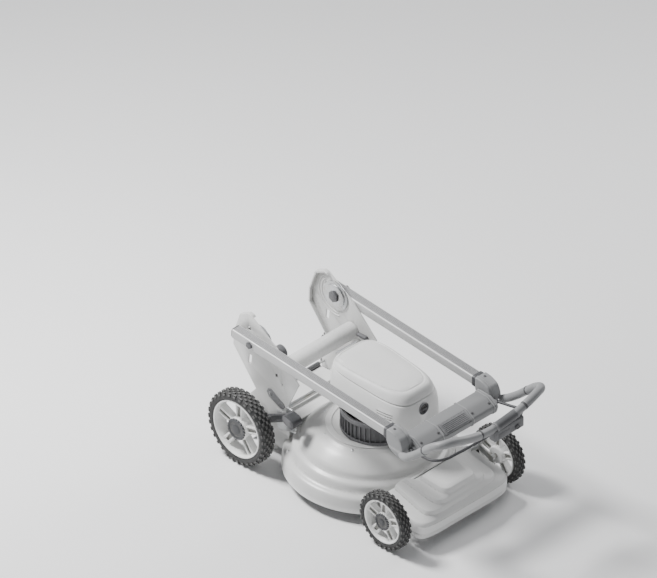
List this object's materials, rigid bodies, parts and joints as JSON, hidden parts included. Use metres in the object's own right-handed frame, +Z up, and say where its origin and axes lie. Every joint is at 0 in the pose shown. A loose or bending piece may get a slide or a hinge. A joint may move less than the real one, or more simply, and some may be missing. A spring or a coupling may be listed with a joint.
{
  "type": "push lawn mower",
  "caption": "Battery walk-behind push mower with a round stepped deck, moulded covers, treaded wheels and a loop handle folded forward over the deck.",
  "frame": {"origin": "on the ground under the middle of the mower's overall box, with the handle folded forward", "axes": "+X to the nose, +Y to the mower's left, +Z up"},
  "size_m": [1.055, 0.59, 0.525],
  "materials": {
    "body_paint": "satin powder coat",
    "cover_plastic": "fine moulded grain",
    "handle_grey": "satin grey coat",
    "handle_plastic": "fine moulded grain",
    "dark_plastic": "fine grain",
    "mid_plastic": "fine grain",
    "steel": "zinc plated",
    "rim_plastic": "fine grain",
    "tyre": "moulded tread",
    "flap_rubber": "matt sheet"
  },
  "bodies": {
    "chassis": {"deck_shell": "body_paint", "front_cover": "cover_plastic", "front_bumper": "cover_plastic", "front_axle_frame": "steel", "motor_housing": "cover_plastic", "lid_hinge_pin": "steel", "motor_skirt": "dark_plastic", "motor_stator": "steel", "battery_dock": "dark_plastic", "battery_pack": "dark_plastic", "motor_controller": "dark_plastic", "bracket_right": "body_paint", "bracket_left": "body_paint", "pivot_boss_right": "steel", "pivot_boss_left": "steel", "pivot_bolt_right": "dark_plastic", "pivot_bolt_left": "dark_plastic", "cross_tube": "body_paint", "cable_hook": "dark_plastic", "fold_stop": "dark_plastic", "lever_strap": "mid_plastic", "lever_quadrant": "steel", "door_rod": "steel"},
    "lid": {"battery_lid": "cover_plastic"},
    "lid_release": {"lid_knob": "dark_plastic"},
    "cutter": {"motor_rotor": "steel", "blade": "steel", "blade_adapter": "steel", "blade_bolt": "steel"},
    "rear_axle_body": {"rear_axle": "steel", "height_lever": "dark_plastic", "height_grip": "dark_plastic"},
    "front_axle_body": {"front_axle": "steel"},
    "wheel_rear_right": {"tyre_rear_right": "tyre", "rim_rear_right": "rim_plastic", "hub_cap_rear_right": "dark_plastic"},
    "wheel_rear_left": {"tyre_rear_left": "tyre", "rim_rear_left": "rim_plastic", "hub_cap_rear_left": "dark_plastic"},
    "wheel_front_right": {"tyre_front_right": "tyre", "rim_front_right": "rim_plastic", "hub_cap_front_right": "dark_plastic"},
    "wheel_front_left": {"tyre_front_left": "tyre", "rim_front_left": "rim_plastic", "hub_cap_front_left": "dark_plastic"},
    "door": {"rear_door": "dark_plastic"},
    "flap": {"trailing_flap": "flap_rubber"},
    "handle": {"tube_right": "handle_grey", "tube_left": "handle_grey", "tube_plug_right": "dark_plastic", "tube_plug_left": "dark_plastic", "yoke_top": "handle_plastic", "yoke_bottom": "handle_plastic", "loop_handle": "handle_plastic", "control_pod": "mid_plastic"},
    "latch": {"latch_paddle": "mid_plastic"},
    "plunger_right": {"lock_plunger_right": "steel"},
    "plunger_left": {"lock_plunger_left": "steel"},
    "button": {"start_button": "dark_plastic"},
    "bail_body": {"bail": "dark_plastic"}
  },
  "joints": [
    {"name": "handle_fold", "type": "hinge", "parent": "chassis", "child": "handle", "pos_m": [-0.3875, 0, 0.4455], "axis": [0, -1, 0], "range_deg": [0, 134]},
    {"name": "latch_press", "type": "slide", "parent": "handle", "child": "latch", "axis": [-0.508, 0, -0.8614], "range_m": [0, 0.006], "stiffness_N_per_m": 400},
    {"name": "plunger_right_pull", "type": "slide", "parent": "handle", "child": "plunger_right", "axis": [0, -1, 0], "range_m": [0, 0.006]},
    {"name": "plunger_left_pull", "type": "slide", "parent": "handle", "child": "plunger_left", "axis": [0, 1, 0], "range_m": [0, 0.006]},
    {"name": "start_press", "type": "slide", "parent": "handle", "child": "button", "axis": [-1, 0, 0], "range_m": [0, 0.003], "stiffness_N_per_m": 400},
    {"name": "bail_pull", "type": "hinge", "parent": "handle", "child": "bail_body", "pos_m": [0.3295, 0, 0.372], "axis": [0, -1, 0], "range_deg": [0, 20], "stiffness_Nm_per_rad": 1.5, "springref_deg": -34.38},
    {"name": "lid_open", "type": "hinge", "parent": "chassis", "child": "lid", "pos_m": [-0.1655, 0, 0.437], "axis": [0, -1, 0], "range_deg": [0, 75]},
    {"name": "lid_release_press", "type": "slide", "parent": "chassis", "child": "lid_release", "axis": [-1, 0, 0], "range_m": [0, 0.004], "stiffness_N_per_m": 500},
    {"name": "blade_spin", "type": "hinge", "parent": "chassis", "child": "cutter", "pos_m": [-0.0475, 0, 0.062], "axis": [0, 0, 1], "continuous": true},
    {"name": "height_adjust", "type": "hinge", "parent": "chassis", "child": "rear_axle_body", "pos_m": [-0.3325, 0, 0.165], "axis": [0, -1, 0], "range_deg": [0, 35]},
    {"name": "front_axle_turn", "type": "hinge", "parent": "chassis", "child": "front_axle_body", "pos_m": [0.2195, 0, 0.122], "axis": [0, 1, 0], "range_deg": [0, 35]},
    {"name": "wheel_rear_right_spin", "type": "hinge", "parent": "rear_axle_body", "child": "wheel_rear_right", "pos_m": [-0.3925, -0.256, 0.135], "axis": [0, 1, 0], "continuous": true},
    {"name": "wheel_rear_left_spin", "type": "hinge", "parent": "rear_axle_body", "child": "wheel_rear_left", "pos_m": [-0.3925, 0.256, 0.135], "axis": [0, 1, 0], "continuous": true},
    {"name": "wheel_front_right_spin", "type": "hinge", "parent": "front_axle_body", "child": "wheel_front_right", "pos_m": [0.2775, -0.263, 0.105], "axis": [0, 1, 0], "continuous": true},
    {"name": "wheel_front_left_spin", "type": "hinge", "parent": "front_axle_body", "child": "wheel_front_left", "pos_m": [0.2775, 0.263, 0.105], "axis": [0, 1, 0], "continuous": true},
    {"name": "rear_door_open", "type": "hinge", "parent": "chassis", "child": "door", "pos_m": [-0.4425, 0, 0.157], "axis": [0, 1, 0], "range_deg": [0, 70]},
    {"name": "flap_swing", "type": "hinge", "parent": "door", "child": "flap", "pos_m": [-0.4585, 0, 0.059], "axis": [0, 1, 0], "range_deg": [-30, 30]}
  ],
  "couplings": [
    {"joint": "plunger_right_pull", "follows": "latch_press", "ratio": 1},
    {"joint": "plunger_left_pull", "follows": "latch_press", "ratio": 1},
    {"joint": "front_axle_turn", "follows": "height_adjust", "ratio": 1}
  ]
}
